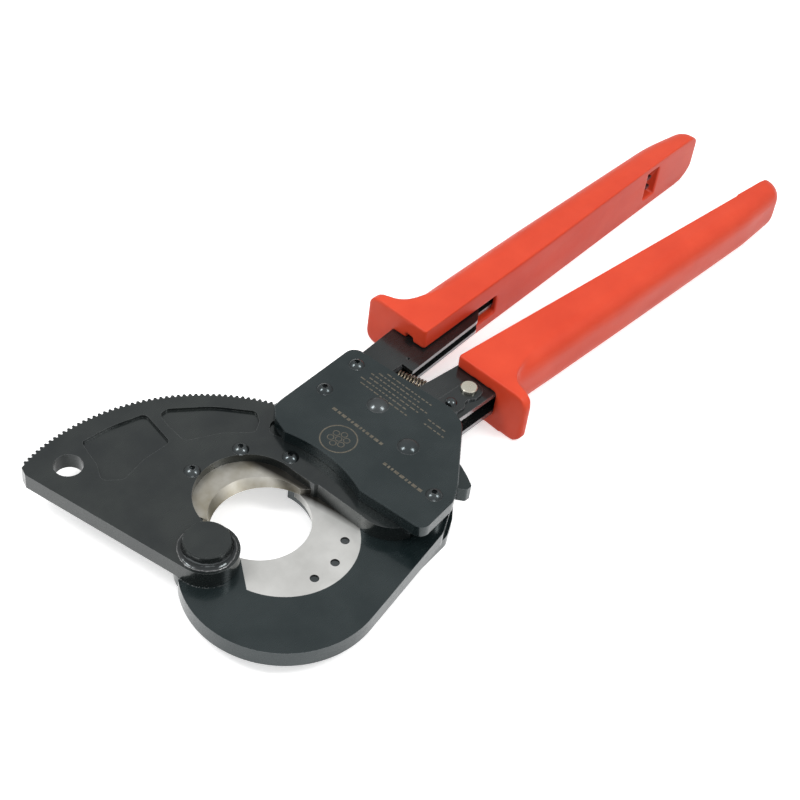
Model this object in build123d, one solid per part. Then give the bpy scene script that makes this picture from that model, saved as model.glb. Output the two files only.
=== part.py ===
from build123d import *
import os
from math import atan2, ceil, cos, degrees, floor, hypot, pi, radians, sin, tan

# Ratcheting cable cutter, lying flat. Millimetres, +Z up, +X towards the jaws.
# Everything is drawn about the jaw pivot axis and moved to the part frame at export.
# The frame's origin is the centre of the bounding box, at the bottom.
PIVOT_X = 185.0
PIVOT_Y = 11.4

# Layers, from the surface that the tool lies on
COVER_T = 6.0          # each of the two covers
JAW_T = 8.0            # fixed jaw plate
GAP = 0.2              # running clearance on each side of the moving jaw
MOVING_T = 7.8         # moving jaw plate
Z_JAW = COVER_T
Z_JAW_TOP = Z_JAW + JAW_T
Z_MOVING = Z_JAW_TOP + GAP
Z_MOVING_TOP = Z_MOVING + MOVING_T
Z_COVER = Z_MOVING_TOP + GAP
Z_COVER_TOP = Z_COVER + COVER_T

# Ratchet
TEETH_PER_TURN = 216
TIP_R = 90.0
ROOT_R = 88.75
TOOTH_PITCH = 360 / TEETH_PER_TURN
FIRST_TIP = -74.1      # angle of the first tooth about the pivot
TOOTH_COUNT = 83

# Jaw pivot
JAW_PIN_R = 8.0
BOSS_R = 10.1
BOSS_H = 5.6
PIVOT_END_R = 13.7
BUSH_T = 1.5
PIN_CLEARANCE = 0.05

# Fixed jaw and blades
HOOK_CENTRE = (-20.5, 24.0)
HOOK_R = 43.2
OPENING_CENTRE = (-31.5, -2.5)
OPENING_R = 22.7
RELIEF_R = 23.7
FIXED_BLADE_CENTRE = (-32.7, 10.8)
FIXED_BLADE_R = 32.9
FIXED_BLADE_T = 4.0
MOVING_BLADE_T = 3.5
MOVING_OPENING_CENTRE = (-32.5, -9.5)
MOVING_OPENING_R = 24.0
MOVING_BLADE_R = 32.5
EDGE_CENTRE = (-29.6, 5.7)
EDGE_R = 25.0
BEVEL_CENTRE = (-31.0, 0.0)
BEVEL_R = 22.9
FIXED_BLADE_HOLES = [(-50.0, 30.5), (-38.4, 36.1), (-26.2, 36.3)]
MOVING_BLADE_HOLES = [(-24.2, -35.9), (-48.3, -31.8), (-60.9, -14.0)]
POCKET_DEPTH = 1.3
HANGING_HOLE = (12.3, -72.7)
HANGING_HOLE_R = 6.35

# Head fasteners, as places about the jaw pivot
ARM_SCREW = (-119.5, -31.5)
LUG_SCREW = (-97.2, -29.8)
HOOK_SCREW = (-86.5, 45.9)
HANDLE_PIVOT = (-107.8, -7.1)
PAWL_PIVOT = (-99.2, 19.3)
M4_R = 2.0
M4_HEAD_R = 3.8
M4_HEAD_H = 2.2
M4_KEY = 2.5
DOME_R = 5.0
DOME_H = 2.4
PIVOT_PIN_R = 3.5
PAWL_PIN_R = 3.0
SPACER_R = 5.5

# Handle arms: two nested U-channels of bent sheet
FIXED_ARM_Z = 8.4
FIXED_ARM_H = 8.2
FIXED_ARM_T = 2.0
LUG_STEP = 2.1         # cut from the fixed arm's lower side, to pass the moving arm's flange
ARM_DIMPLE = (-150.5, -26.5)
MOVING_ARM_Z = 7.2
MOVING_ARM_H = 13.6
MOVING_ARM_T = 2.5
DRIVE_PIN_X = 9.6      # drive pawl's pin, from the handle pivot
DRIVE_PIN_Y = -6.4
DRIVE_PIN_R = 2.0

# Grips
GRIP_H = 28.0
GUARD_X = -160.0
GUARD_T = 4.5
GUARD_SWEEP = 4.0      # from the guard's back to the corner that its sweep rounds off
GUARD_RUN = 40.0       # how far back the guard's top runs out into the grip
FIXED_GUARD_Y = -62.5
MOVING_GUARD_Y = 36.5
GRIP_FILLET = 9.5
GRIP_END_X = -399.0

# Handle lock
LOCK_PIVOT = (-152.0, 9.2)
LOCK_STUD = (-139.3, 9.6)
LOCK_T = 1.0
LOCK_PIN_R = 3.9
STUD_R = 2.9

# Return spring
SPRING_FOOT = (-140.8, -24.9)
SPRING_HEAD = (-145.0, -8.4)
SPRING_R = 3.4
SPRING_WIRE = 1.1
SPRING_TURNS = 10


def polar(radius, angle, centre=(0, 0)):
    """A point at an angle in degrees round a centre."""
    return (centre[0] + radius * cos(radians(angle)), centre[1] + radius * sin(radians(angle)))


def outline(corners):
    """A closed face through corners (x, y, r), each rounded by its radius r."""
    path = []
    count = len(corners)
    for i, (x, y, r) in enumerate(corners):
        px, py = corners[i - 1][:2]
        nx, ny = corners[(i + 1) % count][:2]
        before = hypot(px - x, py - y)
        after = hypot(nx - x, ny - y)
        ux, uy = (px - x) / before, (py - y) / before
        vx, vy = (nx - x) / after, (ny - y) / after
        turn = atan2(abs(ux * vy - uy * vx), ux * vx + uy * vy)
        if r == 0:
            path.append([(x, y)])
            continue
        run = r / tan(turn / 2)
        bx, by = ux + vx, uy + vy
        size = hypot(bx, by)
        reach = r / sin(turn / 2)
        centre = (x + bx / size * reach, y + by / size * reach)
        middle = (centre[0] - bx / size * r, centre[1] - by / size * r)
        path.append([(x + ux * run, y + uy * run), middle, (x + vx * run, y + vy * run)])
    edges = []
    for i, step in enumerate(path):
        if len(step) == 3:
            edges.append(ThreePointArc(*step))
        edges.append(Line(step[-1], path[(i + 1) % count][0]))
    return make_face(edges)


def slab(face, z0, height):
    """A flat plate standing on z0."""
    return Pos(0, 0, z0) * extrude(face, height)


def disc(centre, radius):
    return Pos(centre[0], centre[1]) * Circle(radius)


def rod(centre, radius, z0, z1):
    return Pos(centre[0], centre[1], z0) * extrude(Circle(radius), z1 - z0)


def tube(centre, outer, inner, z0, z1):
    return rod(centre, outer, z0, z1) - rod(centre, inner, z0, z1)


def dome(centre, radius, height, z0):
    """A domed head: a slice of a ball, with its flat face on z0."""
    ball_r = (radius * radius + height * height) / (2 * height)
    ball = Pos(centre[0], centre[1], z0 + height - ball_r) * Sphere(ball_r)
    return ball & rod(centre, radius + 1, z0, z0 + height + 1)


def button_screw(centre, z_seat, z_end):
    """A hexagon-socket button-head screw, its head's underside on z_seat."""
    head = dome(centre, M4_HEAD_R, M4_HEAD_H, z_seat)
    shank = rod(centre, M4_R, z_end, z_seat)
    hexagon = RegularPolygon(M4_KEY / 2, 6, major_radius=False)
    key = Pos(centre[0], centre[1], z_seat + 0.6) * extrude(hexagon, 3)
    return head + shank - key


# ---- fixed jaw ----

def jaw_face():
    """The hook, its straight back edge and the lugs inside the head."""
    head = outline([
        (-28.8, 66.4, 0), (-84.0, 55.6, 8), (-101.7, 45.6, 4), (-106.6, 36.0, 3), (-106.6, 12.0, 2),
        (-96.0, 10.0, 0), (-96.0, -22.0, 0), (-104.2, -24.0, 1), (-104.2, -35.4, 2), (-71.0, -33.6, 2),
        (-58.2, -9.0, 0), (-31.0, -2.5, 0), (-20.5, 24.0, 0),
    ])
    hook = disc(HOOK_CENTRE, HOOK_R)
    throat = outline([
        (-58.2, -9.0, 0), (-31.0, -2.5, 0), (-6.0, 5.0, 0), (0.0, 0.0, 0), (40.0, -1.0, 0),
        (40.0, -60.0, 0), (-40.0, -60.0, 0), (-71.0, -33.6, 0),
    ])
    face = head + hook - throat + disc((0, 0), PIVOT_END_R - 0.2)
    return face - disc(HANDLE_PIVOT, 18.3)


def fixed_blade_face():
    """A crescent: the outer circle less the opening, with both ends cut square."""
    keep = outline([
        (-53.0, -4.0, 0), (-80.0, 2.0, 0), (-80.0, 60.0, 0), (10.0, 60.0, 0), (10.0, 38.0, 0),
        (-2.2, 21.4, 2), (-13.6, 4.8, 0), (-31.5, -2.5, 0),
    ])
    return (disc(FIXED_BLADE_CENTRE, FIXED_BLADE_R) & keep) - disc(OPENING_CENTRE, OPENING_R)


def build_fixed_jaw():
    jaw = slab(jaw_face(), Z_JAW, JAW_T)
    jaw -= rod(OPENING_CENTRE, RELIEF_R, Z_JAW, Z_JAW_TOP)
    jaw += slab(disc((0, 0), PIVOT_END_R - 0.2), Z_JAW, JAW_T)
    jaw -= slab(fixed_blade_face(), Z_JAW_TOP - FIXED_BLADE_T, FIXED_BLADE_T)
    jaw -= rod((0, 0), JAW_PIN_R + BUSH_T, Z_JAW, Z_JAW_TOP)
    for place in FIXED_BLADE_HOLES:
        jaw -= rod(place, M4_R, Z_JAW, Z_JAW_TOP)
        jaw -= rod(place, M4_HEAD_R, Z_JAW, Z_JAW + M4_HEAD_H)
    for place in (LUG_SCREW, HOOK_SCREW):
        jaw -= rod(place, M4_R, Z_JAW, Z_JAW_TOP)
    return jaw - rod(PAWL_PIVOT, PAWL_PIN_R, Z_JAW, Z_JAW_TOP)


def build_fixed_blade():
    blade = slab(fixed_blade_face(), Z_JAW_TOP - FIXED_BLADE_T, FIXED_BLADE_T)
    for place in FIXED_BLADE_HOLES:
        blade -= rod(place, M4_R, Z_JAW, Z_JAW_TOP)
    return blade


def build_fixed_blade_screws():
    """Three flat cap screws from below, ending just under the blade's top face."""
    screws = []
    for place in FIXED_BLADE_HOLES:
        head = rod(place, M4_HEAD_R - 0.1, Z_JAW + 0.2, Z_JAW + M4_HEAD_H)
        shank = rod(place, M4_R, Z_JAW + M4_HEAD_H, Z_JAW_TOP - 0.6)
        key = Pos(place[0], place[1], Z_JAW) * extrude(RegularPolygon(M4_KEY / 2, 6, major_radius=False), 1.4)
        screws.append(head + shank - key)
    return Compound(children=screws)


def build_jaw_bush():
    return tube((0, 0), JAW_PIN_R + BUSH_T, JAW_PIN_R + PIN_CLEARANCE, Z_JAW, Z_JAW_TOP)


# ---- moving jaw ----

def tooth_edge():
    """The toothed rim as points, from the straight edge round to the leading end."""
    points = []
    quarter = TOOTH_PITCH / 4
    for i in range(TOOTH_COUNT):
        tip = FIRST_TIP - i * TOOTH_PITCH
        points.append(polar(ROOT_R, tip + 1.6 * quarter))
        points.append(polar(TIP_R, tip + 0.6 * quarter))
        points.append(polar(TIP_R, tip - 0.6 * quarter))
        points.append(polar(ROOT_R, tip - 1.6 * quarter))
    return points


def moving_jaw_face():
    corner = (29.0, -80.2)
    reach = hypot(*corner)
    past_corner = atan2((reach ** 2 - PIVOT_END_R ** 2) ** 0.5, PIVOT_END_R)
    tangent = degrees(atan2(corner[1], corner[0]) + past_corner)
    start = polar(PIVOT_END_R, tangent)
    rim = tooth_edge()
    left = polar(MOVING_OPENING_R, 176, MOVING_OPENING_CENTRE)
    bottom = polar(MOVING_OPENING_R, 270, MOVING_OPENING_CENTRE)
    right = polar(MOVING_OPENING_R, -2.5, MOVING_OPENING_CENTRE)
    meet = polar(PIVOT_END_R, degrees(atan2(right[1], right[0])))
    edges = [
        Line(start, corner),
        Polyline(corner, (27.5, -84.6), *rim),
        Line(rim[-1], (-71.5, 47.6)),
        ThreePointArc((-71.5, 47.6), (-62.6, 41.5), (-59.6, 30.0)),
        Polyline((-59.6, 30.0), (-58.6, 5.4), (-57.4, 4.2), left),
        ThreePointArc(left, bottom, right),
        Line(right, meet),
        ThreePointArc(meet, polar(PIVOT_END_R, 120), start),
    ]
    return make_face(edges)


def pocket_faces():
    """Three shallow lightening pockets between the rim and the opening."""
    first = outline([
        (-0.4, -79.8, 2), (-15.0, -79.0, 40), (-31.9, -75.0, 3), (-28.6, -54.8, 2.5), (-14.0, -54.6, 20),
        (0.4, -51.2, 3), (7.6, -57.0, 3), (3.0, -65.5, 6), (1.4, -73.0, 6),
    ])
    second = outline([
        (-36.0, -70.6, 3), (-41.0, -71.0, 3), (-57.0, -59.0, 40), (-69.4, -44.0, 3), (-66.0, -38.6, 2),
        (-60.0, -34.8, 3), (-49.0, -44.2, 20), (-33.6, -51.4, 3), (-34.4, -62.0, 20),
    ])
    third = outline([
        (-71.5, -37.2, 4), (-78.5, -24.0, 10), (-81.2, -4.0, 40), (-80.0, 14.0, 40), (-75.0, 30.0, 4),
        (-66.0, 26.0, 4), (-70.6, 8.0, 30), (-71.0, -8.0, 30), (-64.4, -31.0, 4),
    ])
    return [first, second, third]


def moving_blade_face():
    """The blade's plan: a crescent under the opening's edge, ending in a nose over the fixed blade."""
    keep = outline([
        (-54.2, -0.4, 0), (-58.4, 3.9, 0), (-66.0, 3.0, 0), (-66.0, -50.0, 0), (0.0, -50.0, 0),
        (-6.0, -30.0, 0), (-14.0, -12.0, 0), (-30.0, -6.0, 0),
    ])
    return disc(MOVING_OPENING_CENTRE, MOVING_BLADE_R) & keep


def blade_bevel():
    """The opening's tapered wall, from the cutting edge up to the blade's top face."""
    lower = Pos(EDGE_CENTRE[0], EDGE_CENTRE[1], Z_MOVING) * Circle(EDGE_R)
    upper = Pos(BEVEL_CENTRE[0], BEVEL_CENTRE[1], Z_MOVING + MOVING_BLADE_T) * Circle(BEVEL_R)
    return loft([lower, upper])


def build_moving_blade():
    blade = slab(moving_blade_face(), Z_MOVING, MOVING_BLADE_T) - blade_bevel()
    for place in MOVING_BLADE_HOLES:
        blade -= rod(place, M4_R, Z_MOVING, Z_MOVING_TOP)
    return blade


def build_moving_jaw():
    jaw = slab(moving_jaw_face(), Z_MOVING, MOVING_T)
    jaw -= slab(moving_blade_face(), Z_MOVING, MOVING_BLADE_T)
    for face in pocket_faces():
        jaw -= slab(face, Z_MOVING_TOP - POCKET_DEPTH, POCKET_DEPTH)
    jaw -= rod(HANGING_HOLE, HANGING_HOLE_R, Z_MOVING, Z_MOVING_TOP)
    jaw -= rod((0, 0), JAW_PIN_R, Z_MOVING, Z_MOVING_TOP)
    for place in MOVING_BLADE_HOLES:
        jaw -= rod(place, M4_R, Z_MOVING, Z_MOVING_TOP)
    return jaw


def build_moving_blade_screws():
    screws = [button_screw(place, Z_MOVING_TOP, Z_MOVING + 0.2) for place in MOVING_BLADE_HOLES]
    return Compound(children=screws)


def build_jaw_pin():
    """The pin is welded to the moving jaw and turns in the bush of the fixed jaw."""
    boss = rod((0, 0), BOSS_R, Z_MOVING_TOP, Z_MOVING_TOP + BOSS_H)
    boss = chamfer(boss.edges().group_by(Axis.Z)[-1], 0.5)
    groove = tube((0, 0), JAW_PIN_R + 1, JAW_PIN_R - 1, Z_JAW - 1.6, Z_JAW - 0.6)
    return boss + rod((0, 0), JAW_PIN_R, Z_JAW - 2.4, Z_MOVING_TOP) - groove


def build_jaw_pin_clip():
    """A snap ring in the pin's groove, under the fixed jaw."""
    ring = tube((0, 0), JAW_PIN_R + 2.5, JAW_PIN_R - 1, Z_JAW - 1.5, Z_JAW - 0.7)
    return ring - Pos(0, -JAW_PIN_R, Z_JAW - 1.1) * Box(5, 6, 3)


# ---- head covers and their fasteners ----

def cover_face():
    """Both covers share one outline: a hollow front edge, a square lower rear corner and a sloping back."""
    upper = (-65.1, 22.6)
    hollow = (-69.4, -1.0)
    lower = (-65.6, -22.6)
    rear = outline([
        (-73.4, -37.4, 1), (-78.0, -38.2, 8), (-127.6, -41.3, 5.5), (-129.8, -8.0, 20), (-131.6, 16.0, 9),
        (-128.0, 25.6, 9), (-98.6, 49.0, 14), (-90.0, 53.8, 6), (-68.4, 56.2, 4.5),
        (*upper, 0), (-67.5, 14.0, 0), (-67.5, -14.0, 0), (*lower, 0), (-68.4, -31.6, 2),
    ])
    nose = make_face([ThreePointArc(upper, hollow, lower), Polyline(lower, (-60, -22.6), (-60, 22.6), upper)])
    return rear - nose


def cover_holes():
    places = [(place, M4_R) for place in (ARM_SCREW, LUG_SCREW, HOOK_SCREW)]
    return places + [(HANDLE_PIVOT, PIVOT_PIN_R), (PAWL_PIVOT, PAWL_PIN_R)]


def build_cover(z0):
    cover = slab(cover_face(), z0, COVER_T)
    for place, radius in cover_holes():
        cover -= rod(place, radius, z0, z0 + COVER_T)
    return cover


def build_top_cover():
    cover = build_cover(Z_COVER)
    return chamfer(cover.faces().sort_by(Axis.Z)[-1].outer_wire().edges(), 0.4)


def build_cover_screws():
    return Compound(children=[button_screw(p, Z_COVER_TOP, 0.5) for p in (ARM_SCREW, LUG_SCREW, HOOK_SCREW)])


def build_cover_spacers():
    return Compound(children=[tube(p, SPACER_R, M4_R, Z_JAW_TOP, Z_COVER) for p in (LUG_SCREW, HOOK_SCREW)])


def build_arm_spacers():
    """Three rings that hold the fixed arm at mid height on its screw."""
    top = FIXED_ARM_Z + FIXED_ARM_H
    rings = [
        tube(ARM_SCREW, SPACER_R, M4_R, Z_JAW, FIXED_ARM_Z),
        tube(ARM_SCREW, SPACER_R, M4_R, FIXED_ARM_Z + FIXED_ARM_T, top - FIXED_ARM_T),
        tube(ARM_SCREW, SPACER_R, M4_R, top, Z_COVER),
    ]
    return Compound(children=rings)


def build_handle_pivot_pin():
    return rod(HANDLE_PIVOT, PIVOT_PIN_R, 0.4, Z_COVER_TOP) + dome(HANDLE_PIVOT, DOME_R, DOME_H, Z_COVER_TOP)


def build_pawl_pivot_pin():
    return rod(PAWL_PIVOT, PAWL_PIN_R, 0.4, Z_COVER_TOP) + dome(PAWL_PIVOT, DOME_R, DOME_H, Z_COVER_TOP)


# ---- fixed handle ----

FIXED_ARM_EDGE = [
    (-104.9, -39.5, 1), (-104.9, -26.4, 3), (-108.6, -24.4, 1), (-108.6, -17.0, 0), (-114.0, -13.5, 1),
    (-138.0, -16.4, 3),
    (-140.0, -18.8, 1), (-196.0, -22.6, 5), (-205.0, -30.0, 5), (-232.0, -31.4, 20), (-355.8, -38.4, 1),
    (-355.8, -47.4, 1), (-260.0, -47.4, 0), (-160.0, -45.6, 0), (-137.0, -43.6, 0),
]


def fixed_arm_face():
    lug = disc(HANDLE_PIVOT, 6.6)
    neck = outline([
        (-114.2, -9.0, 0), (-108.6, -9.0, 0), (-108.6, -26.0, 0), (-122.0, -20.0, 0), (-120.0, -12.0, 0),
    ])
    return outline(FIXED_ARM_EDGE) + lug + neck


def build_fixed_arm():
    arm = slab(fixed_arm_face(), FIXED_ARM_Z, FIXED_ARM_H)
    hollow = outline([
        (-98.0, -37.0, 0), (-98.0, 2.0, 0), (-150.0, 2.0, 0), (-300.0, 2.0, 0), (-370.0, -20.0, 0),
        (-370.0, -45.4, 0), (-260.0, -45.4, 0), (-160.0, -43.6, 0), (-137.0, -41.6, 0),
    ])
    arm -= slab(hollow, FIXED_ARM_Z + FIXED_ARM_T, FIXED_ARM_H - 2 * FIXED_ARM_T)
    notch = outline([
        (SPRING_FOOT[0] - 4.9, -10.0, 0), (SPRING_FOOT[0] + 4.9, -10.0, 0),
        (SPRING_FOOT[0] + 4.9, -25.8, 0.6), (SPRING_FOOT[0] - 4.9, -25.8, 0.6),
    ])
    arm -= slab(notch, FIXED_ARM_Z, FIXED_ARM_H)
    arm -= rod(ARM_SCREW, M4_R, FIXED_ARM_Z, FIXED_ARM_Z + FIXED_ARM_H)
    arm -= rod(ARM_DIMPLE, 0.9, FIXED_ARM_Z + FIXED_ARM_H - 0.8, FIXED_ARM_Z + FIXED_ARM_H)
    arm -= Pos(-111.0, -8.5, FIXED_ARM_Z + LUG_STEP / 2) * Box(26.0, 21.0, LUG_STEP)
    return arm - rod(HANDLE_PIVOT, PIVOT_PIN_R, FIXED_ARM_Z, FIXED_ARM_Z + FIXED_ARM_H)


def build_lug_bush():
    """A distance ring under the fixed arm's lug, on the moving arm's lower flange."""
    z1 = FIXED_ARM_Z + FIXED_ARM_H - FIXED_ARM_T
    return tube(HANDLE_PIVOT, 6.0, PIVOT_PIN_R, MOVING_ARM_Z + MOVING_ARM_T + 0.2, z1)


def build_spring_seat():
    """A small block riveted between the fixed arm's flanges, with a stud inside the spring."""
    z0 = FIXED_ARM_Z + FIXED_ARM_T
    height = FIXED_ARM_H - 2 * FIXED_ARM_T
    block = Pos(SPRING_FOOT[0], SPRING_FOOT[1] - 4.6, z0 + height / 2) * Box(9.4, 8.0, height)
    stud = spring_plane(-1.5) * extrude(Circle(1.7), 6)
    return block + stud


# ---- moving handle ----

DRIVE_PIN = (HANDLE_PIVOT[0] + DRIVE_PIN_X, HANDLE_PIVOT[1] + DRIVE_PIN_Y)


def moving_arm_face():
    body = outline([
        (-161.0, -5.4, 0), (-127.0, -8.3, 2), (-108.0, -14.0, 6), (-100.8, -1.0, 6), (-112.0, 8.0, 6),
        (-122.0, 18.5, 8), (-161.0, 18.5, 0), (-255.0, 19.0, 0), (-366.0, 20.0, 2), (-366.0, 13.0, 2),
        (-255.0, 4.8, 0),
    ])
    lever = outline([
        (-110.0, 0.0, 0), (-96.4, -8.8, 2), (-94.4, -14.6, 3), (-99.4, -18.4, 3), (-112.0, -15.0, 3),
    ])
    return body + lever + disc(HANDLE_PIVOT, 8.5)


def build_moving_arm():
    arm = slab(moving_arm_face(), MOVING_ARM_Z, MOVING_ARM_H)
    hollow = outline([
        (-126.0, -20.0, 0), (-90.0, -20.0, 0), (-90.0, 30.0, 0), (-370.0, 30.0, 0), (-370.0, 15.2, 0),
        (-255.0, 6.9, 0), (-161.0, -3.3, 0), (-128.0, -6.2, 0),
    ])
    arm -= slab(hollow, MOVING_ARM_Z + MOVING_ARM_T, MOVING_ARM_H - 2 * MOVING_ARM_T)
    top = MOVING_ARM_Z + MOVING_ARM_H
    arm -= rod(HANDLE_PIVOT, PIVOT_PIN_R + PIN_CLEARANCE, MOVING_ARM_Z, top)
    arm -= rod(DRIVE_PIN, DRIVE_PIN_R, MOVING_ARM_Z, top)
    return arm - rod(LOCK_PIVOT, 2.5, MOVING_ARM_Z, top)


def build_drive_pawl_pin():
    return rod(DRIVE_PIN, DRIVE_PIN_R, MOVING_ARM_Z, MOVING_ARM_Z + MOVING_ARM_H)


def build_drive_pawl():
    """A stepped pawl: a low hub between the fork's flanges and a tall nose towards the teeth."""
    low = MOVING_ARM_Z + MOVING_ARM_T + 0.3
    hub = rod(DRIVE_PIN, 4.4, low, low + 4.2)
    web = outline([
        (DRIVE_PIN[0] - 4.2, DRIVE_PIN[1] + 1.5, 0), (DRIVE_PIN[0] + 1.5, DRIVE_PIN[1] - 4.0, 0),
        (-91.4, -5.2, 0), (-91.0, -2.2, 0.3), (-94.6, -1.6, 1),
    ])
    nose = outline([
        (-92.6, -7.0, 0.5), (-91.2, -5.6, 0.5), (-90.8, -2.2, 0.25), (-94.4, -2.0, 1), (-95.0, -4.6, 1),
    ])
    body = hub + slab(web, low, 4.2) + slab(nose, low, Z_MOVING + 4.0 - low)
    return body - rod(DRIVE_PIN, DRIVE_PIN_R + PIN_CLEARANCE, low, low + 4.2)


def coil(radius, wire_r, pitch, turns):
    """A round-wire helical spring standing on the origin, along Z."""
    path = Helix(pitch=pitch, height=pitch * turns, radius=radius)
    section = Plane(origin=path @ 0, z_dir=path % 0) * Circle(wire_r)
    return sweep(section, path)


def build_drive_pawl_spring():
    z0 = MOVING_ARM_Z + MOVING_ARM_T + 4.9
    return Pos(DRIVE_PIN[0], DRIVE_PIN[1], z0 + 0.4) * coil(2.9, 0.35, 0.9, 3)


def build_holding_pawl():
    """A lever: hub on its pin, a nose into the teeth and a thumb tab beside the head."""
    z0 = Z_JAW_TOP + 0.3
    tab = outline([
        (-104.4, 22.0, 2), (-96.0, 25.0, 2), (-101.2, 38.0, 12), (-101.8, 46.4, 2), (-104.4, 49.9, 1.5),
        (-107.6, 49.9, 1.5), (-110.6, 44.6, 3), (-114.2, 36.6, 3), (-108.6, 32.0, 8),
    ])
    nose = outline([
        (-100.0, 13.4, 2), (-93.2, 18.0, 3), (-85.6, 29.6, 0.3), (-87.4, 32.6, 1), (-96.0, 27.4, 3),
        (-103.0, 24.0, 2),
    ])
    hub = rod(PAWL_PIVOT, 6.6, z0, z0 + 4.3)
    arms = slab(tab, z0, 7.3) + slab(nose, z0, 7.3) - rod(PAWL_PIVOT, 6.6, z0 + 4.3, z0 + 8)
    return arms + hub - rod(PAWL_PIVOT, PAWL_PIN_R + PIN_CLEARANCE, z0, z0 + 8)


def build_holding_pawl_spring():
    return Pos(PAWL_PIVOT[0], PAWL_PIVOT[1], Z_JAW_TOP + 5.15) * coil(4.3, 0.45, 0.95, 2.5)


# ---- handle lock ----

def build_lock_lever():
    """A flat lever on the moving arm: it turns on its pin and carries the stud at its other end."""
    z0 = MOVING_ARM_Z + MOVING_ARM_H + 0.1
    plate = outline([
        (-157.6, 4.8, 3), (-133.2, 4.2, 4), (-132.8, 15.4, 5), (-141.6, 15.8, 2), (-145.4, 12.6, 4),
        (-150.0, 15.6, 2), (-157.8, 15.2, 5),
    ])
    lever = slab(plate, z0, LOCK_T)
    lever -= rod(LOCK_PIVOT, 2.5 + PIN_CLEARANCE, z0, z0 + LOCK_T)
    return lever - rod(LOCK_STUD, 1.5, z0, z0 + LOCK_T)


def build_lock_stud():
    z0 = MOVING_ARM_Z + MOVING_ARM_H + 0.1
    return rod(LOCK_STUD, 1.5, z0, z0 + LOCK_T) + dome(LOCK_STUD, STUD_R, 2.0, z0 + LOCK_T)


def build_lock_pin():
    """A plain headed pin through both flanges of the moving arm."""
    z0 = MOVING_ARM_Z + MOVING_ARM_H + 0.2 + LOCK_T
    head = rod(LOCK_PIVOT, LOCK_PIN_R, z0, z0 + 1.5)
    head = chamfer(head.edges().group_by(Axis.Z)[-1], 0.3)
    return head + rod(LOCK_PIVOT, 2.5, MOVING_ARM_Z, z0)


def spring_plane(along):
    """The plane across the spring's slanting axis, some way along from its foot."""
    run = (SPRING_HEAD[0] - SPRING_FOOT[0], SPRING_HEAD[1] - SPRING_FOOT[1])
    length = hypot(*run)
    z_mid = FIXED_ARM_Z + FIXED_ARM_H / 2
    origin = (SPRING_FOOT[0] + run[0] * along / length, SPRING_FOOT[1] + run[1] * along / length, z_mid)
    return Plane(origin=origin, z_dir=(run[0] / length, run[1] / length, 0))


def build_return_spring():
    """A compression spring between the two arms."""
    length = hypot(SPRING_HEAD[0] - SPRING_FOOT[0], SPRING_HEAD[1] - SPRING_FOOT[1]) - SPRING_WIRE
    spring = coil(SPRING_R, SPRING_WIRE / 2, length / SPRING_TURNS, SPRING_TURNS)
    return spring_plane(SPRING_WIRE / 2) * spring


# ---- grips ----

def grip_body(edge, inner_shift):
    """A grip's bar: full rounded edges on the outer side and a crisp edge on the inner side."""
    wide = [(x, y + inner_shift * (i < 4), 10.5 if i == 3 else r) for i, (x, y, r) in enumerate(edge)]
    body = slab(outline(wide), 0, GRIP_H)
    rims = body.edges().filter_by(lambda e: e.length > 1 and abs(e.bounding_box().size.Z) < 0.01)
    rims = rims.filter_by(lambda e: e.bounding_box().min.X < GUARD_X - 1)
    end_x = edge[3][0]
    side = outline([(GUARD_X + 1, 0, 0), (end_x, 0, 14), (end_x, GRIP_H, 4), (GUARD_X + 1, GRIP_H, 0)])
    upright = Plane(origin=(0, 100, 0), x_dir=(1, 0, 0), z_dir=(0, -1, 0))
    return fillet(rims, GRIP_FILLET) & slab(outline(edge), 0, GRIP_H) & extrude(upright * side, 200)


def guard(side, outer, towards):
    """The flared guard: it sweeps out from the grip's outer side and has rounded corners."""
    plan = outline([
        (GUARD_X, side - towards * 12, 0), (GUARD_X, outer, 2), (GUARD_X - GUARD_T, outer, 2.5),
        (GUARD_X - GUARD_T - GUARD_SWEEP, side + towards * 0.2, 13),
        (GUARD_X - GUARD_RUN, side - towards * GRIP_FILLET, 0),
    ])
    front = outline([
        (outer, 0, 7), (outer, GRIP_H, 7), (side - towards * 12, GRIP_H, 0), (side - towards * 12, 0, 0),
    ])
    across = Plane(origin=(GUARD_X + 1, 0, 0), x_dir=(0, 1, 0), z_dir=(1, 0, 0))
    return slab(plan, 0, GRIP_H) & extrude(across * front, -GUARD_RUN)


FIXED_GRIP_EDGE = [
    (GUARD_X, -25.6, 0), (-255.0, -29.8, 0), (-345.0, -34.6, 60), (GRIP_END_X, -36.8, 3),
    (GRIP_END_X, -48.6, 10.5), (-368.0, -52.8, 110), (-255.0, -51.2, 0), (GUARD_X, -48.4, 0),
]

MOVING_GRIP_EDGE = [
    (GUARD_X, -5.4, 0), (-255.0, 1.6, 0), (-340.0, 7.6, 60), (-398.0, 11.4, 3),
    (-398.0, 22.0, 10.5), (-362.0, 24.2, 110), (-255.0, 22.8, 0), (GUARD_X, 21.0, 0),
]


def build_fixed_grip():
    grip = grip_body(FIXED_GRIP_EDGE, 14) + guard(-48.8, FIXED_GUARD_Y, -1)
    grip -= slab(outline(FIXED_ARM_EDGE), FIXED_ARM_Z, FIXED_ARM_H)
    slot = Pos(-186.5, -26.5, 11.7) * Box(61.0, 19.0, 10.6)
    notch = Pos(GUARD_X - 1.5, -35.2, 17.8) * Box(5.0, 4.6, 3.4)
    window = Pos(-354.6, -36.2, 15.5) * Box(10.6, 12.6, 17.4)
    return grip - slot - notch - window


def build_moving_grip():
    grip = grip_body(MOVING_GRIP_EDGE, -14) + guard(21.3, MOVING_GUARD_Y, 1)
    return grip - slab(moving_arm_face(), MOVING_ARM_Z, MOVING_ARM_H)


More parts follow.
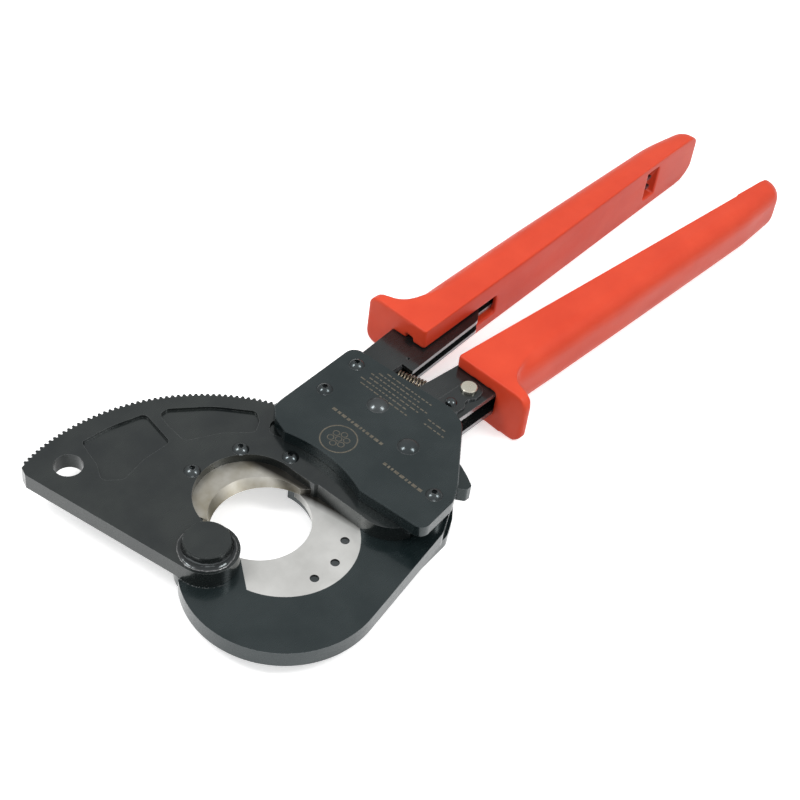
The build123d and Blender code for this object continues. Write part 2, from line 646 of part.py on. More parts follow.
NODES = {
    "fixed_jaw": build_fixed_jaw,
    "fixed_blade": build_fixed_blade,
    "fixed_blade_screws": build_fixed_blade_screws,
    "jaw_pivot_bush": build_jaw_bush,
    "moving_jaw": build_moving_jaw,
    "moving_blade": build_moving_blade,
    "moving_blade_screws": build_moving_blade_screws,
    "jaw_pivot_pin": build_jaw_pin,
    "jaw_pin_clip": build_jaw_pin_clip,
    "top_cover": build_top_cover,
    "bottom_cover": lambda: build_cover(0),
    "cover_screws": build_cover_screws,
    "cover_spacers": build_cover_spacers,
    "arm_spacers": build_arm_spacers,
    "handle_pivot_pin": build_handle_pivot_pin,
    "pawl_pivot_pin": build_pawl_pivot_pin,
    "fixed_arm": build_fixed_arm,
    "lug_bush": build_lug_bush,
    "spring_seat": build_spring_seat,
    "moving_arm": build_moving_arm,
    "drive_pawl_pin": build_drive_pawl_pin,
    "drive_pawl": build_drive_pawl,
    "drive_pawl_spring": build_drive_pawl_spring,
    "holding_pawl": build_holding_pawl,
    "holding_pawl_spring": build_holding_pawl_spring,
    "lock_lever": build_lock_lever,
    "lock_stud": build_lock_stud,
    "lock_pin": build_lock_pin,
    "return_spring": build_return_spring,
    "fixed_grip": build_fixed_grip,
    "moving_grip": build_moving_grip,
}

os.makedirs("parts", exist_ok=True)
for name, build in NODES.items():
    export_step(Pos(PIVOT_X, PIVOT_Y, 0) * build(), f"parts/{name}.step")
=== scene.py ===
import random
from math import cos, pi, radians, sin

import bmesh
import bpy
from mathutils import Matrix, Vector


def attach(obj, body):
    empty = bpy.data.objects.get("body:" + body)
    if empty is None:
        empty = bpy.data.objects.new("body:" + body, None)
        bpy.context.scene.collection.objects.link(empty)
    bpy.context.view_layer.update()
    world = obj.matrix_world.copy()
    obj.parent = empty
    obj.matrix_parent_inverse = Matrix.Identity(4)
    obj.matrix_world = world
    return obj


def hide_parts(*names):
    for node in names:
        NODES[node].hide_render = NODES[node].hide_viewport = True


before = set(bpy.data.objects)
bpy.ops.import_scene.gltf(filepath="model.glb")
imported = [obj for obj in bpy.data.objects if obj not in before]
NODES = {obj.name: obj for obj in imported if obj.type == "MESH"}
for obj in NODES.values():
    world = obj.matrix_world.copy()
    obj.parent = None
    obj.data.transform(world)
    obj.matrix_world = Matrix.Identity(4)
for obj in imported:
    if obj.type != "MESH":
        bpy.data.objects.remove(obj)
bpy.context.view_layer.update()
MM = 0.001

# The jaw pivot's place in the part frame; shapes below are given about it, in millimetres.
PIVOT = Vector((185.0, 11.4, 0.0))

# Heights of the visible faces, in millimetres above the surface the tool lies on
JAW_TOP = 14.0
MOVING_TOP = 22.0
COVER_TOP = 28.2

# The cutting opening's centre about the jaw pivot, and how far the ground walls reach from it
CUT_CENTRE = (-29.6, 5.7)
CUT_REACH = 27.5
# Painted shade: the blades are painted black at their heels, behind a slanted line in the part frame, near
# the moving jaw's wall
HEEL_SHADE_SLOPE = 0.2
HEEL_SHADE_START = 131.6
HEEL_SHADE_FADE = 4.0


def at(x, y, z):
    """A place about the jaw pivot, in metres in the part frame."""
    return (Vector((x, y, z)) + PIVOT) * MM


# ---- node helpers ----

# Noise scales, per metre: clouds of tone, specks and scratches in metal, and grain in the grips
CLOUD_SCALE = 45.0
SPECK_SCALE = 900.0
SCRATCH_SCALE = 260.0
GRIP_CLOUD_SCALE = 28.0
GRIP_FLOW_SCALE = 60.0
GRIP_GRAIN_SCALE = 2300.0
MARK_SCALE = 1500.0
EDGE_SAMPLES = 6


def new_material(name):
    mat = bpy.data.materials.new(name)
    mat.use_nodes = True
    nodes = mat.node_tree.nodes
    shader = next(n for n in nodes if n.type == "BSDF_PRINCIPLED")
    return mat, mat.node_tree, shader


def object_coords(tree):
    return tree.nodes.new("ShaderNodeTexCoord").outputs["Object"]


def noise(tree, coords, scale, detail=4.0, stretch=None, roughness=0.55):
    """Noise of a given scale per metre, stretched along an axis if asked."""
    if stretch:
        mapping = tree.nodes.new("ShaderNodeMapping")
        mapping.inputs["Scale"].default_value = stretch
        tree.links.new(coords, mapping.inputs["Vector"])
        coords = mapping.outputs["Vector"]
    node = tree.nodes.new("ShaderNodeTexNoise")
    node.inputs["Scale"].default_value = scale
    node.inputs["Detail"].default_value = detail
    node.inputs["Roughness"].default_value = roughness
    tree.links.new(coords, node.inputs["Vector"])
    return node.outputs["Fac"]


def spread(tree, value, low, high, out_low=0.0, out_high=1.0):
    """Maps a value from one range onto another, clamped."""
    node = tree.nodes.new("ShaderNodeMapRange")
    node.inputs["From Min"].default_value = low
    node.inputs["From Max"].default_value = high
    node.inputs["To Min"].default_value = out_low
    node.inputs["To Max"].default_value = out_high
    tree.links.new(value, node.inputs["Value"])
    return node.outputs["Result"]


def math_node(tree, operation, a, b):
    node = tree.nodes.new("ShaderNodeMath")
    node.operation = operation
    for socket, value in zip(node.inputs, (a, b)):
        if isinstance(value, (int, float)):
            socket.default_value = value
        else:
            tree.links.new(value, socket)
    return node.outputs["Value"]


def mix_colour(tree, factor, a, b):
    node = tree.nodes.new("ShaderNodeMix")
    node.data_type = "RGBA"
    if isinstance(factor, (int, float)):
        node.inputs["Factor"].default_value = factor
    else:
        tree.links.new(factor, node.inputs["Factor"])
    for socket, value in zip((node.inputs["A"], node.inputs["B"]), (a, b)):
        if isinstance(value, tuple):
            socket.default_value = (*value, 1.0)
        else:
            tree.links.new(value, socket)
    return node.outputs["Result"]


def edge_mask(tree, radius, low=0.03, high=0.25):
    """White within a radius of the sharp edges: the rounded normal leaves the true one there."""
    bevel = tree.nodes.new("ShaderNodeBevel")
    bevel.samples = EDGE_SAMPLES
    bevel.inputs["Radius"].default_value = radius
    geometry = tree.nodes.new("ShaderNodeNewGeometry")
    dot = tree.nodes.new("ShaderNodeVectorMath")
    dot.operation = "DOT_PRODUCT"
    tree.links.new(bevel.outputs["Normal"], dot.inputs[0])
    tree.links.new(geometry.outputs["Normal"], dot.inputs[1])
    away = math_node(tree, "SUBTRACT", 1.0, dot.outputs["Value"])
    return spread(tree, away, low, high)


def facing(tree, direction, least):
    """White on faces that look along a direction of the part frame."""
    geometry = tree.nodes.new("ShaderNodeNewGeometry")
    dot = tree.nodes.new("ShaderNodeVectorMath")
    dot.operation = "DOT_PRODUCT"
    dot.inputs[1].default_value = direction
    tree.links.new(geometry.outputs["True Normal"], dot.inputs[0])
    return spread(tree, dot.outputs["Value"], least, least + 0.1)


def unground_and_heel_shade(tree, coords):
    """White on a blade's upright faces away from the cutting edge, which are left black, and behind a
    slanted line at its back end, where black is painted as shade near the moving jaw's wall.
    """
    normal = tree.nodes.new("ShaderNodeSeparateXYZ")
    tree.links.new(tree.nodes.new("ShaderNodeNewGeometry").outputs["True Normal"], normal.inputs["Vector"])
    level = math_node(tree, "ABSOLUTE", normal.outputs["Z"], 0.0)
    flatten = tree.nodes.new("ShaderNodeVectorMath")
    flatten.operation = "MULTIPLY"
    flatten.inputs[1].default_value = (1.0, 1.0, 0.0)
    tree.links.new(coords, flatten.inputs[0])
    apart = tree.nodes.new("ShaderNodeVectorMath")
    apart.operation = "DISTANCE"
    apart.inputs[1].default_value = at(*CUT_CENTRE, 0.0)
    tree.links.new(flatten.outputs["Vector"], apart.inputs[0])
    outside = spread(tree, apart.outputs["Value"], CUT_REACH * MM, (CUT_REACH + 0.4) * MM)
    side = math_node(tree, "MULTIPLY", outside, spread(tree, level, 0.3, 0.5, 1.0, 0.0))
    along = tree.nodes.new("ShaderNodeSeparateXYZ")
    tree.links.new(coords, along.inputs["Vector"])
    # Painted shade: behind this slanted line the blade is painted black
    sloped = math_node(tree, "MULTIPLY", along.outputs["Y"], HEEL_SHADE_SLOPE)
    lean = math_node(tree, "ADD", along.outputs["X"], sloped)
    heel_shade = spread(tree, lean, HEEL_SHADE_START * MM, (HEEL_SHADE_START + HEEL_SHADE_FADE) * MM, 1.0, 0.0)
    return math_node(tree, "MAXIMUM", side, heel_shade)


def bump(tree, height, strength, distance, normal=None):
    node = tree.nodes.new("ShaderNodeBump")
    node.inputs["Strength"].default_value = strength
    node.inputs["Distance"].default_value = distance
    tree.links.new(height, node.inputs["Height"])
    if normal is not None:
        tree.links.new(normal, node.inputs["Normal"])
    return node.outputs["Normal"]


def metal(name, dark, light, worn, metallic, rough, grain=None, wear=0.6, edge=0.0004, coat=0.0, ripple=0.12,
          sheared_and_highlight=None, sides_and_shade=None):
    """A metal finish: mottled colour, worn bright edges, fine scratches and uneven gloss.

    Cut edges that look along +Y take one colour: bare metal from the shear, with a painted highlight, as
    only the edges facing that way get it. Blades take black on their upright faces that are not ground, and
    the same black as painted shade at their back ends.
    """
    mat, tree, shader = new_material(name)
    coords = object_coords(tree)
    cloud = noise(tree, coords, CLOUD_SCALE, 5.0)
    speck = noise(tree, coords, SPECK_SCALE, 3.0)
    scratch = noise(tree, coords, SCRATCH_SCALE, 6.0, grain or (1.0, 2.5, 2.0))
    tone = mix_colour(tree, spread(tree, cloud, 0.35, 0.65), dark, light)
    broken = math_node(tree, "MULTIPLY", edge_mask(tree, edge), spread(tree, speck, 0.35, 0.6, 0.25, 1.0))
    shown = math_node(tree, "MULTIPLY", broken, wear)
    # Bare metal from the shear, and a painted highlight: only cut edges that look along +Y are painted
    # lighter
    if sheared_and_highlight:
        tone = mix_colour(tree, facing(tree, (0, 1, 0), 0.75), tone, sheared_and_highlight)
    # Black on a blade's upright faces that are not ground, and painted shade at its back end
    if sides_and_shade:
        tone = mix_colour(tree, unground_and_heel_shade(tree, coords), tone, sides_and_shade)
    tree.links.new(mix_colour(tree, shown, tone, worn), shader.inputs["Base Color"])
    gloss = math_node(tree, "ADD", spread(tree, cloud, 0.3, 0.7, rough * 0.85, rough * 1.15),
                      spread(tree, scratch, 0.4, 0.7, -0.03, 0.06))
    tree.links.new(gloss, shader.inputs["Roughness"])
    shader.inputs["Metallic"].default_value = metallic
    shader.inputs["Coat Weight"].default_value = coat
    shader.inputs["Coat Roughness"].default_value = 0.12
    fine = bump(tree, scratch, ripple, 0.00005)
    tree.links.new(bump(tree, speck, ripple * 0.6, 0.00003, fine), shader.inputs["Normal"])
    return mat


def grip_plastic():
    """Moulded orange-red vinyl: fine grain, slight colour drift, and a soft sheen painted as lighter orange
    on the edges.
    """
    mat, tree, shader = new_material("orange_vinyl")
    coords = object_coords(tree)
    cloud = noise(tree, coords, GRIP_CLOUD_SCALE, 4.0)
    grain = noise(tree, coords, GRIP_GRAIN_SCALE, 2.0)
    flow = noise(tree, coords, GRIP_FLOW_SCALE, 5.0, (0.25, 1.0, 1.0))
    tone = mix_colour(tree, spread(tree, cloud, 0.35, 0.65), (0.66, 0.052, 0.018), (0.74, 0.068, 0.025))
    # Painted sheen: the edges are painted a lighter orange
    edge_sheen = math_node(tree, "MULTIPLY", edge_mask(tree, 0.0012, 0.01, 0.2), 0.25)
    tree.links.new(mix_colour(tree, edge_sheen, tone, (0.84, 0.13, 0.055)), shader.inputs["Base Color"])
    gloss = math_node(tree, "ADD", spread(tree, flow, 0.3, 0.7, 0.36, 0.5),
                      spread(tree, grain, 0.3, 0.7, -0.03, 0.03))
    tree.links.new(gloss, shader.inputs["Roughness"])
    shader.inputs["Specular IOR Level"].default_value = 0.3
    shader.inputs["Subsurface Weight"].default_value = 0.06
    shader.inputs["Subsurface Radius"].default_value = (0.004, 0.001, 0.0005)
    shader.inputs["Subsurface Scale"].default_value = 0.6
    soft = bump(tree, flow, 0.10, 0.0004)
    tree.links.new(bump(tree, grain, 0.22, 0.00005, soft), shader.inputs["Normal"])
    return mat


MATERIALS = {
    "plate": metal("blued_plate", (0.012, 0.022, 0.024), (0.022, 0.033, 0.035),
                   (0.24, 0.26, 0.27), 0.55, 0.26,
                   coat=0.35, ripple=0.03),
    "jaw": metal("blued_jaw", (0.016, 0.021, 0.022), (0.028, 0.034, 0.033), (0.26, 0.27, 0.27), 0.55, 0.24,
                 coat=0.4, ripple=0.03),
    "blade": metal("ground_blade", (0.56, 0.56, 0.54), (0.70, 0.70, 0.68), (0.85, 0.85, 0.85), 0.75, 0.42,
                   (1.0, 14.0, 1.0), ripple=0.2, sides_and_shade=(0.030, 0.028, 0.024)),
    "stained": metal("stained_blade", (0.28, 0.25, 0.18), (0.54, 0.53, 0.49), (0.7, 0.7, 0.68), 0.75, 0.4,
                     (1.0, 14.0, 1.0), ripple=0.2, sides_and_shade=(0.030, 0.028, 0.024)),
    "screw": metal("black_oxide", (0.055, 0.065, 0.068), (0.10, 0.11, 0.113), (0.6, 0.6, 0.6), 0.95, 0.22,
                   edge=0.0002, ripple=0.06),
    "arm": metal("blued_sheet", (0.022, 0.027, 0.028), (0.038, 0.043, 0.044), (0.42, 0.42, 0.42), 0.7, 0.25,
                 sheared_and_highlight=(0.24, 0.25, 0.26), coat=0.4, ripple=0.08),
    "weld": metal("weld_bead", (0.03, 0.035, 0.037), (0.07, 0.075, 0.076),
                  (0.5, 0.5, 0.5), 0.9, 0.16, ripple=0.9),
    "turned": metal("turned_steel", (0.36, 0.36, 0.36), (0.48, 0.48, 0.47), (0.7, 0.7, 0.7), 1.0, 0.3),
    "bronze": metal("bronze", (0.42, 0.26, 0.10), (0.52, 0.33, 0.14), (0.8, 0.6, 0.3), 1.0, 0.33),
    "zinc": metal("zinc_plate", (0.60, 0.57, 0.48), (0.72, 0.70, 0.62), (0.9, 0.88, 0.8), 0.9, 0.28),
    "spring": metal("oiled_wire", (0.12, 0.10, 0.07), (0.2, 0.17, 0.13), (0.7, 0.6, 0.45), 1.0, 0.2,
                    edge=0.0001, ripple=0.05),
    "grip": grip_plastic(),
}

FINISH = {
    "fixed_jaw": "plate", "fixed_blade": "blade",
    "fixed_blade_screws": "screw", "jaw_pivot_bush": "bronze",
    "moving_jaw": "jaw", "moving_blade": "stained",
    "moving_blade_screws": "screw", "jaw_pivot_pin": "jaw",
    "jaw_pin_clip": "turned", "top_cover": "plate",
    "bottom_cover": "plate", "cover_screws": "screw",
    "cover_spacers": "turned", "arm_spacers": "turned",
    "handle_pivot_pin": "screw", "pawl_pivot_pin": "screw",
    "fixed_arm": "arm", "lug_bush": "turned", "spring_seat": "arm",
    "moving_arm": "arm", "drive_pawl_pin": "turned",
    "drive_pawl": "turned", "drive_pawl_spring": "spring",
    "holding_pawl": "plate", "holding_pawl_spring": "spring",
    "lock_lever": "arm", "lock_stud": "screw", "lock_pin": "zinc", "return_spring": "spring",
    "fixed_grip": "grip", "moving_grip": "grip",
}

# Edge rounding in millimetres, where an edge catches the light
ROUNDING = {
    "fixed_jaw": 0.35, "moving_jaw": 0.26, "top_cover": 0.3, "bottom_cover": 0.4, "fixed_arm": 0.3,
    "moving_arm": 0.3, "holding_pawl": 0.5, "lock_lever": 0.25, "jaw_pivot_pin": 0.25, "cover_screws": 0.12,
    "moving_blade_screws": 0.12, "lock_pin": 0.15, "moving_blade": 0.06, "fixed_blade": 0.1,
}


# Edges sharper than this many degrees stay edges
SHARP_ANGLE = 32


def paint(obj, mat):
    obj.data.materials.clear()
    obj.data.materials.append(mat)


def round_edges(obj, width):
    """Merges the flat triangles, then rounds every sharp edge."""
    merge = obj.modifiers.new("merge", "DECIMATE")
    merge.decimate_type = "DISSOLVE"
    merge.angle_limit = radians(0.5)
    soft = obj.modifiers.new("rounding", "BEVEL")
    soft.width = width * MM
    soft.segments = 3
    soft.limit_method = "ANGLE"
    soft.angle_limit = radians(SHARP_ANGLE)
    soft.use_clamp_overlap = True
    soft.harden_normals = True


def smooth_by_angle(obj):
    for face in obj.data.polygons:
        face.use_smooth = True
    obj.data.set_sharp_from_angle(angle=radians(SHARP_ANGLE))


def finish_cad_nodes():
    for name, node in NODES.items():
        paint(node, MATERIALS[FINISH[name]])
        smooth_by_angle(node)
        if name in ROUNDING:
            round_edges(node, ROUNDING[name])


# ---- grips ----

# The stretch behind the guard, along X about the jaw pivot, where it sweeps out of the bar
NECK_FRONT = -165.0
NECK_BACK = -200.0
NECK_FADE_IN = 3.0
NECK_FADE_OUT = 10.0

# How far in from the outer side the neck is relaxed, and how fast that fades
NECK_DEPTH = 10.0
NECK_FADE_SIDE = 6.0

GRIP_VOXEL = 0.7

# The outer side's y about the jaw pivot, and the lean of the long edges in degrees
FIXED_GRIP_SIDE = -48.8
FIXED_GRIP_LEAN = -2.8
MOVING_GRIP_SIDE = 21.3
MOVING_GRIP_LEAN = 4.1

# The window that shows the end of the fixed arm, cut sharp through the moulded skin
FIXED_GRIP_OPENINGS = [((-360.0, -42.5, 6.8), (-349.2, -30.0, 24.2))]


def apply_modifiers(obj):
    bpy.context.view_layer.update()
    result = bpy.data.meshes.new_from_object(obj.evaluated_get(bpy.context.evaluated_depsgraph_get()))
    obj.modifiers.clear()
    obj.data = result


def soften_neck(grip, side, towards):
    """Relaxes the skin more where the guard sweeps out of the bar, so the two run together."""
    neck = grip.vertex_groups.new(name="neck")
    for vertex in grip.data.vertices:
        x, y, _ = Vector(vertex.co) / MM - PIVOT
        along = min((NECK_FRONT - x) / NECK_FADE_IN, (x - NECK_BACK) / NECK_FADE_OUT, 1.0)
        across = min((towards * (y - side) + NECK_DEPTH) / NECK_FADE_SIDE, 1.0)
        weight = max(0.0, min(along, across))
        if weight > 0:
            neck.add([vertex.index], weight, "REPLACE")
    ease = grip.modifiers.new("ease", "SMOOTH")
    ease.factor = 0.5
    ease.iterations = 40
    ease.vertex_group = "neck"
    apply_modifiers(grip)


def cut_box(obj, low, high):
    """Cuts a sharp-edged box out of a piece."""
    bm = bmesh.new()
    bmesh.ops.create_cube(bm, size=1.0)
    low, high = at(*low), at(*high)
    bmesh.ops.scale(bm, vec=high - low, verts=bm.verts)
    bmesh.ops.translate(bm, vec=(low + high) / 2, verts=bm.verts)
    mesh = bpy.data.meshes.new("cutter")
    bm.to_mesh(mesh)
    bm.free()
    cutter = bpy.data.objects.new("cutter", mesh)
    bpy.context.collection.objects.link(cutter)
    cut = obj.modifiers.new("cut", "BOOLEAN")
    cut.operation = "DIFFERENCE"
    cut.object = cutter
    cut.solver = "EXACT"
    apply_modifiers(obj)
    bpy.data.objects.remove(cutter)


def moulded_grip(name, node, body, side, towards, lean, openings=()):
    """The grip as it is moulded: the CAD shape remeshed and relaxed, so every corner runs into the next.

    The remesh runs with the grip's long edges turned level, because they come out stepped if they lean.
    """
    mesh = NODES[node].data.copy()
    grip = bpy.data.objects.new(name, mesh)
    bpy.context.collection.objects.link(grip)
    level = Matrix.Rotation(radians(lean), 4, "Z")
    grip.data.transform(level)
    remesh = grip.modifiers.new("skin", "REMESH")
    remesh.mode = "VOXEL"
    remesh.voxel_size = GRIP_VOXEL * MM
    relax = grip.modifiers.new("relax", "SMOOTH")
    relax.factor = 0.5
    relax.iterations = 8
    apply_modifiers(grip)
    grip.data.transform(level.inverted())
    soften_neck(grip, side, towards)
    for low, high in openings:
        cut_box(grip, low, high)
    for face in grip.data.polygons:
        face.use_smooth = True
    paint(grip, MATERIALS["grip"])
    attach(grip, body)
    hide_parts(node)
    return grip


# ---- added detail ----

# The weld fillet at the boss's foot
BOSS_R = 10.1
WELD_REACH = 2.7
WELD_HEIGHT = 3.0
WELD_SINK = 0.02

# The fixed arm's flange ends, about the jaw pivot
TONGUE_X = (-359.6, -355.7)
TONGUE_Y = (-47.0, -38.5)
TONGUE_HEIGHTS = (8.4, 14.6)
TONGUE_T = 2.0


def new_piece(name, bm, mat, body):
    """A smooth-shaded piece from a bmesh, riding on a body."""
    mesh = bpy.data.meshes.new(name)
    bm.normal_update()
    bm.to_mesh(mesh)
    bm.free()
    for face in mesh.polygons:
        face.use_smooth = True
    obj = bpy.data.objects.new(name, mesh)
    bpy.context.collection.objects.link(obj)
    mesh.materials.append(mat)
    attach(obj, body)
    return obj


def boss_weld():
    """The hollow weld fillet round the foot of the pivot boss, smooth with a few uneven runs."""
    rng = random.Random(4)
    bm = bmesh.new()
    around = 180
    across = 8
    rings = []
    for i in range(around):
        angle = 2 * pi * i / around
        swell = 1.0 + 0.05 * sin(angle * 5 + 1) + 0.03 * sin(angle * 17) + rng.uniform(-0.015, 0.015)
        ring = []
        for k in range(across + 1):
            turn = pi / 2 * k / across
            reach = BOSS_R - 0.1 + WELD_REACH * swell * (1 - cos(turn))
            height = MOVING_TOP - WELD_SINK + WELD_HEIGHT * swell * (1 - sin(turn))
            ring.append(bm.verts.new(at(reach * cos(angle), reach * sin(angle), height)))
        inside = BOSS_R - 0.4
        ring.append(bm.verts.new(at(inside * cos(angle), inside * sin(angle), MOVING_TOP - WELD_SINK)))
        rings.append(ring)
    for i, ring in enumerate(rings):
        following = rings[(i + 1) % around]
        for k in range(across + 2):
            m = (k + 1) % (across + 2)
            bm.faces.new((ring[k], ring[m], following[m], following[k]))
    bmesh.ops.recalc_face_normals(bm, faces=bm.faces)
    new_piece("boss_weld", bm, MATERIALS["weld"], "moving_jaw")


def beads(name, count, angles, reach, z, sizes, seed, body):
    """Tiny round beads scattered along an arc about the jaw pivot."""
    rng = random.Random(seed)
    bm = bmesh.new()
    for _ in range(count):
        angle = radians(rng.uniform(*angles))
        radius = rng.uniform(*reach)
        spot = at(radius * cos(angle), radius * sin(angle), z)
        bmesh.ops.create_icosphere(bm, subdivisions=1, radius=rng.uniform(*sizes) * MM,
                                   matrix=Matrix.Translation(spot))
    new_piece(name, bm, MATERIALS["weld"], body)


def arm_tongues():
    """The ends of the fixed arm's two flanges, which show in the grip's window."""
    bm = bmesh.new()
    for height in TONGUE_HEIGHTS:
        low = at(TONGUE_X[0], TONGUE_Y[0], height)
        high = at(TONGUE_X[1], TONGUE_Y[1], height + TONGUE_T)
        bar = bmesh.ops.create_cube(bm, size=1.0)["verts"]
        bmesh.ops.scale(bm, vec=high - low, verts=bar)
        bmesh.ops.translate(bm, vec=(low + high) / 2, verts=bar)
    bmesh.ops.bevel(bm, geom=bm.edges[:], offset=0.25 * MM, segments=2, affect="EDGES")
    tongues = new_piece("fixed_arm_tongues", bm, MATERIALS["arm"], "head")
    for face in tongues.data.polygons:
        face.use_smooth = False


# ---- etched marks ----

# The ring's centre and radii; each row of dashes as x, its first and last y, dash width, length factor
RING_CENTRE = (-79.8, -4.0)
RING_R = (7.9, 8.5)
STRAND_R = (1.25, 1.6)
STRAND_REACH = 3.6
DASH_GAP = 0.8
DASH_LENGTHS = (1.6, 2.4, 3.4)
DASH_ROWS = (
    (-91.6, 11.0, -19.0, 1.5, 0.7),
    (-112.6, 6.0, -22.0, 0.7, 0.8),
    (-115.2, 3.0, -22.0, 0.7, 0.8),
    (-117.8, 8.0, -20.0, 0.7, 0.8),
    (-120.4, 11.0, -22.0, 0.7, 0.8),
    (-123.0, 4.0, -20.0, 0.7, 0.8),
    (-125.6, 9.0, -16.0, 0.7, 0.8),
    (-118.0, 24.0, 13.0, 0.7, 0.8),
    (-114.8, 26.0, 15.0, 0.7, 0.8),
    (-84.0, 41.0, 20.0, 1.5, 0.7),
)


def dashes():
    """Short rows of plain dashes, as start, end and width."""
    rng = random.Random(9)
    strokes = []
    for x, first, last, width, factor in DASH_ROWS:
        y = first
        while y > last:
            step = rng.choice(DASH_LENGTHS) * factor
            strokes.append(((x, y), (x, y - step), width))
            y -= step + DASH_GAP
    return strokes


def flat_ring(bm, centre, inner, outer, z, steps=64):
    """A thin flat ring."""
    loops = []
    for radius in (inner, outer):
        turns = [2 * pi * i / steps for i in range(steps)]
        places = [at(centre[0] + radius * cos(a), centre[1] + radius * sin(a), z) for a in turns]
        loops.append([bm.verts.new(place) for place in places])
    for i in range(steps):
        j = (i + 1) % steps
        bm.faces.new((loops[0][i], loops[1][i], loops[1][j], loops[0][j]))


def flat_bar(bm, start, end, width, z):
    """A thin flat bar from start to end."""
    a, b = Vector((*start, 0)), Vector((*end, 0))
    side = Vector((-(b - a).y, (b - a).x, 0)).normalized() * width / 2
    corners = [a - side, b - side, b + side, a + side]
    bm.faces.new([bm.verts.new(at(c.x, c.y, z)) for c in corners])


def etched_mark():
    """Warm grey etching, patchy and dull."""
    mat, tree, shader = new_material("etched_mark")
    coords = object_coords(tree)
    patch = noise(tree, coords, MARK_SCALE, 3.0)
    tone = mix_colour(tree, spread(tree, patch, 0.35, 0.65), (0.10, 0.09, 0.07), (0.19, 0.17, 0.135))
    tree.links.new(tone, shader.inputs["Base Color"])
    tree.links.new(spread(tree, patch, 0.3, 0.7, 0.45, 0.65), shader.inputs["Roughness"])
    tree.links.new(bump(tree, patch, 0.2, 0.00002), shader.inputs["Normal"])
    shader.inputs["Metallic"].default_value = 0.6
    return mat


def cover_marks():
    """Generic marks on the cover: a ring round a cable's cross-section, and rows of dashes."""
    bm = bmesh.new()
    z = COVER_TOP + 0.012
    flat_ring(bm, RING_CENTRE, *RING_R, z)
    for i in range(7):
        angle = 2 * pi * i / 6
        reach = 0.0 if i == 6 else STRAND_REACH
        spot = (RING_CENTRE[0] + reach * cos(angle), RING_CENTRE[1] + reach * sin(angle))
        flat_ring(bm, spot, *STRAND_R, z, 24)
    for start, end, width in dashes():
        flat_bar(bm, start, end, width, z)
    mesh = bpy.data.meshes.new("cover_marks")
    bm.normal_update()
    bm.to_mesh(mesh)
    bm.free()
    obj = bpy.data.objects.new("cover_marks", mesh)
    bpy.context.collection.objects.link(obj)
    mesh.materials.append(etched_mark())
    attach(obj, "head")


# ---- studio ----

# Camera: where it looks, from which side, and its lens
LOOK_AT = at(-122.7, -6.7, 22.0)
CAMERA_ELEVATION = 43.893
CAMERA_AZIMUTH = 37.5
CAMERA_ROLL = 7.876
CAMERA_DISTANCE = 0.7356
CAMERA_LENS = 73.47

# The floor's side in metres, and how bright the room is low down and overhead
FLOOR_SIZE = 6.0
HORIZON = 0.45
OVERHEAD = 0.85


def view_axes(azimuth, elevation, roll=0.0):
    """Right, up and back of a camera that looks at the tool from an azimuth and elevation."""
    a, e, r = radians(azimuth), radians(elevation), radians(roll)
    back = Vector((cos(e) * cos(a), cos(e) * sin(a), sin(e)))
    right = Vector((-sin(a), cos(a), 0.0))
    up = back.cross(right)
    return right * cos(r) + up * sin(r), up * cos(r) - right * sin(r), back


def place_looking(obj, target, axes, distance):
    right, up, back = axes
    turn = Matrix((right, up, back)).transposed().to_4x4()
    obj.matrix_world = Matrix.Translation(target + back * distance) @ turn


def camera():
    data = bpy.data.cameras.new("camera")
    data.lens = CAMERA_LENS
    data.sensor_width = 36.0
    data.clip_end = 20.0
    obj = bpy.data.objects.new("camera", data)
    bpy.context.collection.objects.link(obj)
    place_looking(obj, LOOK_AT, view_axes(CAMERA_AZIMUTH, CAMERA_ELEVATION, CAMERA_ROLL), CAMERA_DISTANCE)
    bpy.context.scene.camera = obj


def softbox(name, azimuth, elevation, distance, size, power):
    data = bpy.data.lights.new(name, "AREA")
    data.shape = "RECTANGLE"
    data.size, data.size_y = size
    data.energy = power
    obj = bpy.data.objects.new(name, data)
    bpy.context.collection.objects.link(obj)
    place_looking(obj, LOOK_AT, view_axes(azimuth, elevation), distance)


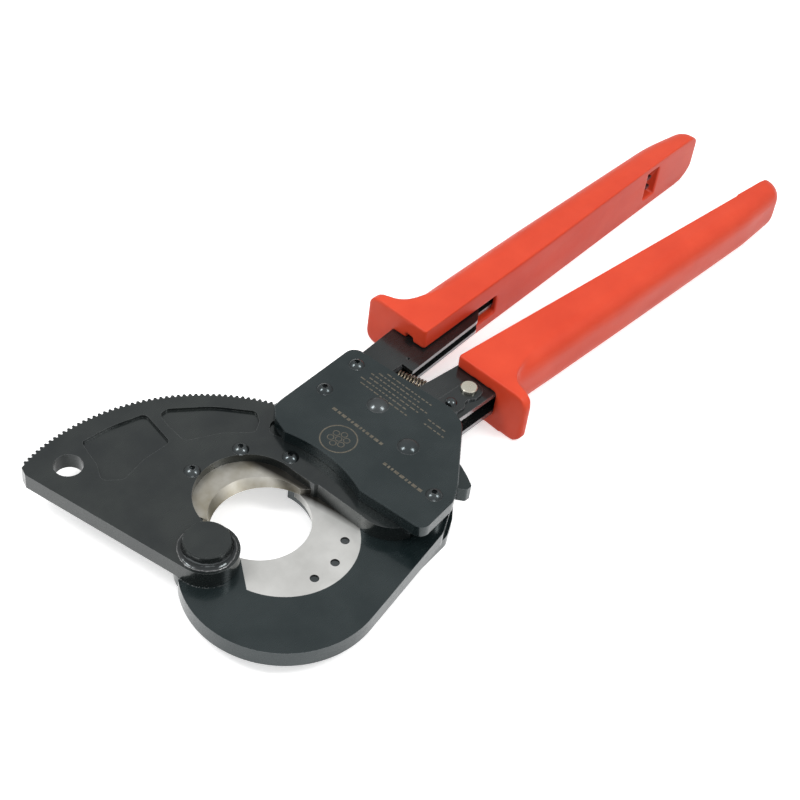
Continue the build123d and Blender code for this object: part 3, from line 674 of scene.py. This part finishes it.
def floor():
    """A plain pale floor that lights nothing, with a little light of its own."""
    bpy.ops.mesh.primitive_plane_add(size=FLOOR_SIZE, location=(0, 0, -0.0002))
    sheet = bpy.context.object
    sheet.name = "floor"
    mat, _, shader = new_material("floor")
    shader.inputs["Base Color"].default_value = (0.95, 0.95, 0.95, 1.0)
    shader.inputs["Roughness"].default_value = 0.8
    shader.inputs["Emission Color"].default_value = (1.0, 1.0, 1.0, 1.0)
    shader.inputs["Emission Strength"].default_value = 0.5
    sheet.data.materials.append(mat)
    sheet.visible_diffuse = False


def pale_room():
    """A white world, brighter overhead than at the horizon."""
    world = bpy.data.worlds.new("studio")
    bpy.context.scene.world = world
    world.use_nodes = True
    sky = world.node_tree
    direction = sky.nodes.new("ShaderNodeTexCoord").outputs["Generated"]
    split = sky.nodes.new("ShaderNodeSeparateXYZ")
    sky.links.new(direction, split.inputs["Vector"])
    background = sky.nodes["Background"]
    background.inputs["Color"].default_value = (1.0, 1.0, 1.0, 1.0)
    strength = spread(sky, split.outputs["Z"], 0.0, 1.0, HORIZON, OVERHEAD)
    sky.links.new(strength, background.inputs["Strength"])


def studio():
    floor()
    pale_room()
    softbox("left_softbox", CAMERA_AZIMUTH - 75, 52, 1.0, (0.24, 0.36), 3.2)
    softbox("right_softbox", CAMERA_AZIMUTH + 75, 52, 1.0, (0.24, 0.36), 3.2)
    softbox("front_strip", CAMERA_AZIMUTH + 8, 22, 1.1, (0.5, 0.1), 0.8)
    bpy.context.scene.view_settings.view_transform = "Standard"


finish_cad_nodes()
moulded_grip("fixed_grip_moulded", "fixed_grip", "head", FIXED_GRIP_SIDE, -1, FIXED_GRIP_LEAN,
             FIXED_GRIP_OPENINGS)
moulded_grip("moving_grip_moulded", "moving_grip", "moving_handle", MOVING_GRIP_SIDE, 1, MOVING_GRIP_LEAN)
boss_weld()
beads("boss_spatter", 60, (130, 200), (12.0, 13.4), MOVING_TOP, (0.1, 0.3), 5, "moving_jaw")
beads("pivot_scale", 220, (-40, 80), (13.95, 14.4), JAW_TOP - 0.1, (0.10, 0.24), 12, "head")
arm_tongues()
cover_marks()
studio()
camera()
